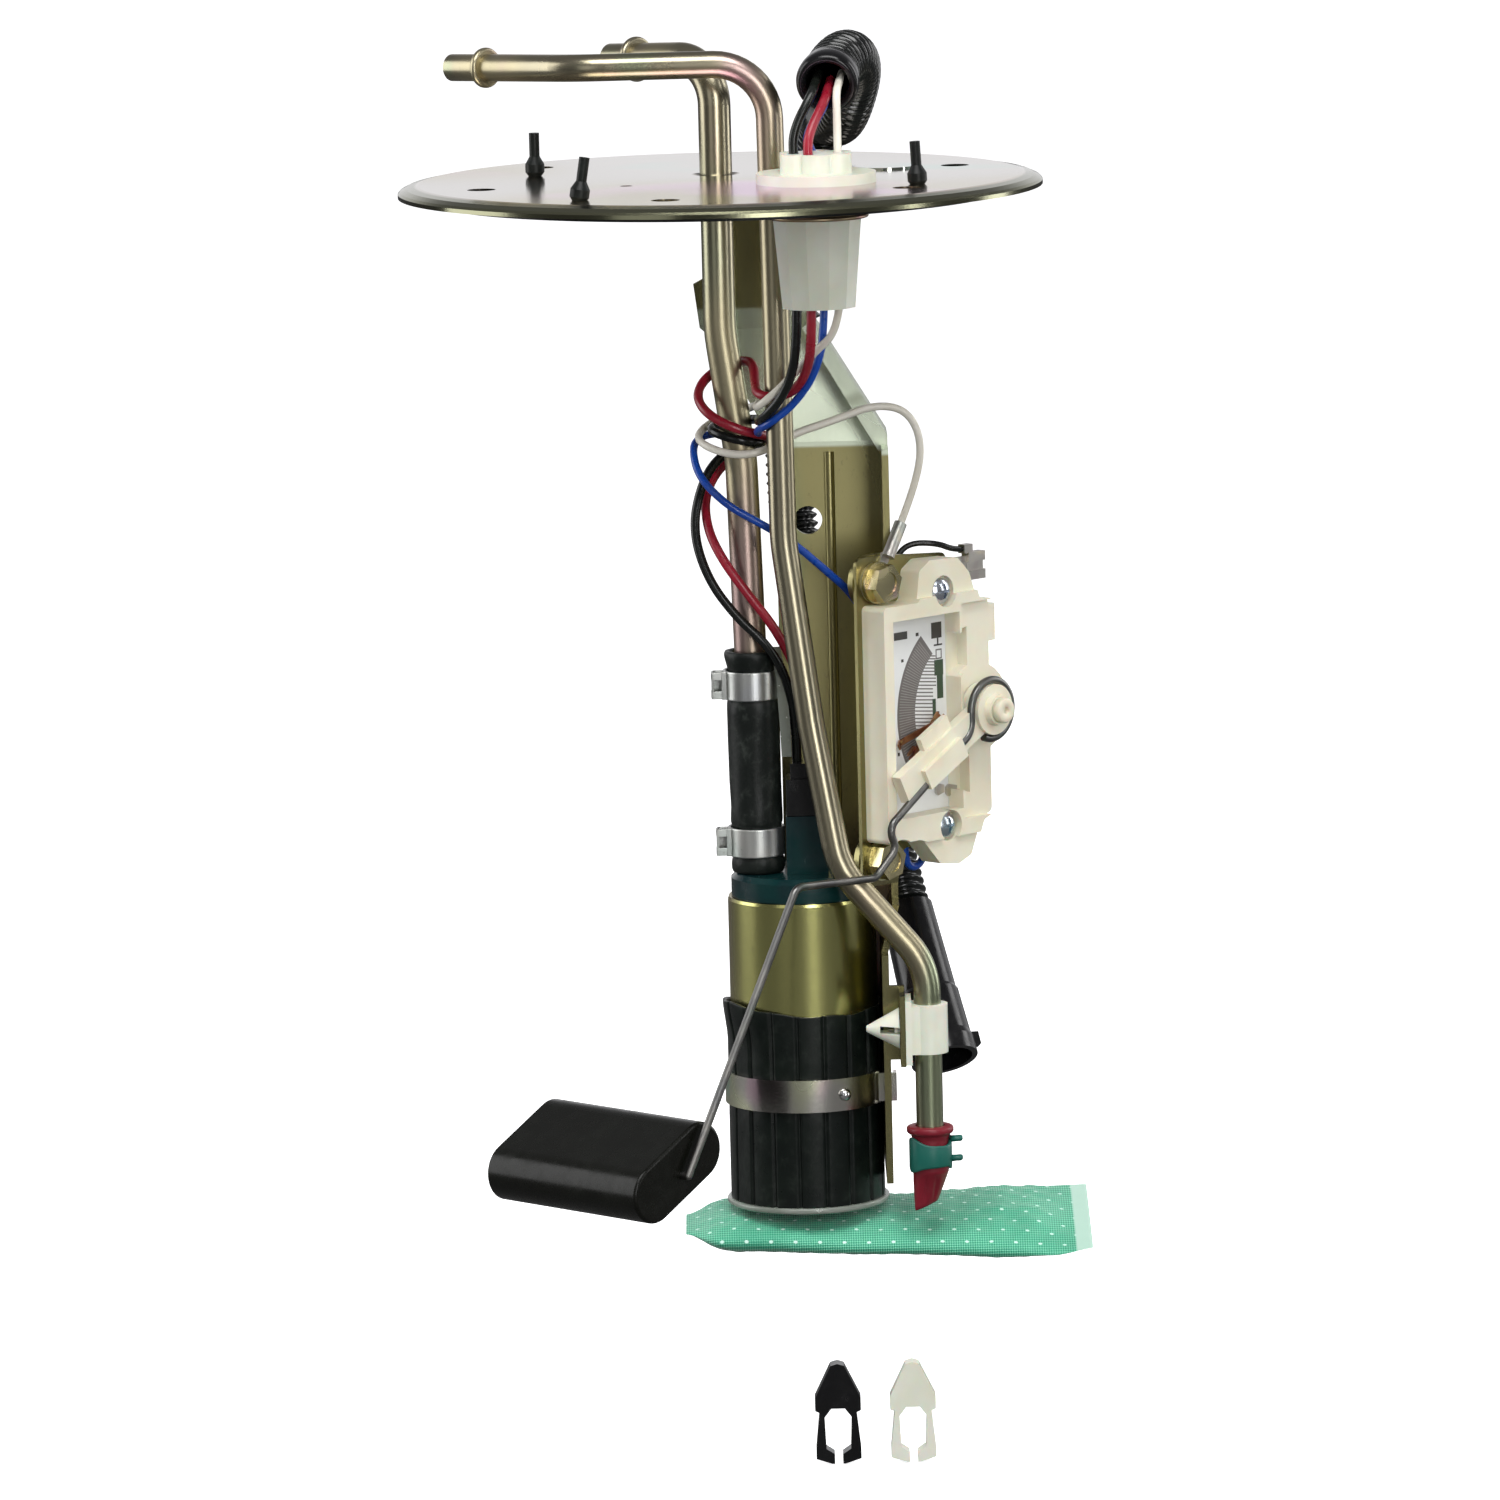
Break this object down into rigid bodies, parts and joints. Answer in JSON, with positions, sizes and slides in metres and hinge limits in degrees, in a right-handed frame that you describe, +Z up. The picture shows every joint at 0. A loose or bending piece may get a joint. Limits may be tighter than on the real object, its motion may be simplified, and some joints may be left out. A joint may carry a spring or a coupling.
{
  "type": "fuel pump module",
  "caption": "In-tank fuel pump module: flange plate with two fuel tubes and a connector, a rail with the pump, strainer and level sender, and a float on a swinging wire arm.",
  "frame": {"origin": "centre of the flange plate's bolt circle, in the plane of its flat underside where the gasket seats", "axes": "+Z up, out of the tank, along the bolts; the pump and rail hang towards -Z; +X to the side of the level sender and -Y to the side that the connector is nearest"},
  "size_m": [0.1955, 0.2137, 0.4238],
  "materials": {
    "zinc_plate": "yellow zinc dichromate, satin",
    "gasket_rubber": "moulded, matt",
    "tube_zinc": "dichromate on steel tube",
    "nylon_white": "moulded nylon",
    "seal_black": "matt",
    "contact_brass": "tinned brass",
    "rail_zinc": "yellow zinc dichromate, satin",
    "bright_steel": "bright",
    "can_zinc": "yellow zinc dichromate",
    "sleeve_rubber": "grooved, matt",
    "cap_plastic": "dark moulding",
    "inlet_plastic": "dark moulding",
    "magnet_ferrite": "ferrite",
    "armature_steel": "laminated steel with resin",
    "bronze": "sintered bronze",
    "copper": "copper",
    "impeller_plastic": "phenolic",
    "brush_carbon": "carbon",
    "valve_plastic": "moulded",
    "plug_black": "moulded",
    "sock_fabric": "fine woven mesh",
    "hose_rubber": "smooth",
    "clamp_zinc": "zinc plated",
    "nylon_cream": "moulded acetal",
    "card_ceramic": "ceramic with dark ink pads",
    "bolt_zinc": "yellow zinc dichromate",
    "screw_zinc": "blue zinc",
    "wire_steel": "drawn wire",
    "float_foam": "closed-cell foam, matt",
    "valve_rubber": "moulded",
    "band_teal": "moulded",
    "loom_black": "corrugated conduit",
    "lead_black": "insulated lead",
    "lead_red": "insulated lead",
    "lead_blue": "insulated lead",
    "lead_white": "insulated lead"
  },
  "bodies": {
    "module": {"flange_plate": "zinc_plate", "flange_gasket": "gasket_rubber", "supply_tube": "tube_zinc", "return_tube": "tube_zinc", "connector_body": "nylon_white", "connector_ring": "seal_black", "connector_pins": "contact_brass", "bracket_rail": "rail_zinc", "pump_strap": "rail_zinc", "strap_rivet": "bright_steel", "pump_can": "can_zinc", "isolator_sleeve": "sleeve_rubber", "pump_end_cap": "cap_plastic", "pump_terminals": "contact_brass", "pump_inlet": "inlet_plastic", "pump_magnets": "magnet_ferrite", "brushes": "brush_carbon", "brush_springs": "bright_steel", "valve_spring": "bright_steel", "pump_plug": "plug_black", "strainer_collar": "nylon_white", "strainer_sock": "sock_fabric", "fuel_hose": "hose_rubber", "hose_clamps": "clamp_zinc", "sender_plate": "rail_zinc", "sender_housing": "nylon_cream", "resistor_card": "card_ceramic", "sender_bolts": "bolt_zinc", "sender_screws": "screw_zinc", "sender_blade": "contact_brass", "blade_receptacle": "contact_brass", "ring_terminal": "contact_brass", "return_clip": "nylon_white", "duckbill_valve": "valve_rubber", "valve_band": "band_teal", "outer_leads": "lead_black", "loom": "loom_black", "harness_plug": "plug_black", "plug_pins": "contact_brass", "lead_black": "lead_black", "lead_red": "lead_red", "lead_blue": "lead_blue", "lead_white": "lead_white", "ground_jumper": "lead_black", "shaft_bushes": "bronze", "strainer_frame": "nylon_white", "loose_clip_black": "plug_black", "loose_clip_white": "nylon_white"},
    "float_arm": {"float_arm": "wire_steel", "wiper_carrier": "nylon_cream", "wiper_contacts": "copper"},
    "float": {"float": "float_foam"},
    "pump_rotor": {"rotor_shaft": "bright_steel", "armature": "armature_steel", "commutator": "copper", "impeller": "impeller_plastic"},
    "outlet_valve": {"check_valve": "valve_plastic"}
  },
  "joints": [
    {"name": "float_arm_hinge", "type": "hinge", "parent": "module", "child": "float_arm", "pos_m": [0.07592, 0.02162, -0.1588], "axis": [-0.7193, 0.6947, 0], "range_deg": [0, 75]},
    {"name": "float_swivel", "type": "hinge", "parent": "float_arm", "child": "float", "pos_m": [-0.01612, -0.07369, -0.278], "axis": [0.7193, -0.6947, 0], "continuous": true},
    {"name": "pump_spin", "type": "hinge", "parent": "module", "child": "pump_rotor", "pos_m": [0.0187, 0.014, -0.25], "axis": [0, 0, 1], "continuous": true},
    {"name": "outlet_valve_lift", "type": "slide", "parent": "module", "child": "outlet_valve", "axis": [0, 0, 1], "range_m": [0, 0.002], "stiffness_N_per_m": 60, "springref_m": -0.002, "deforming": ["valve_spring"]}
  ]
}
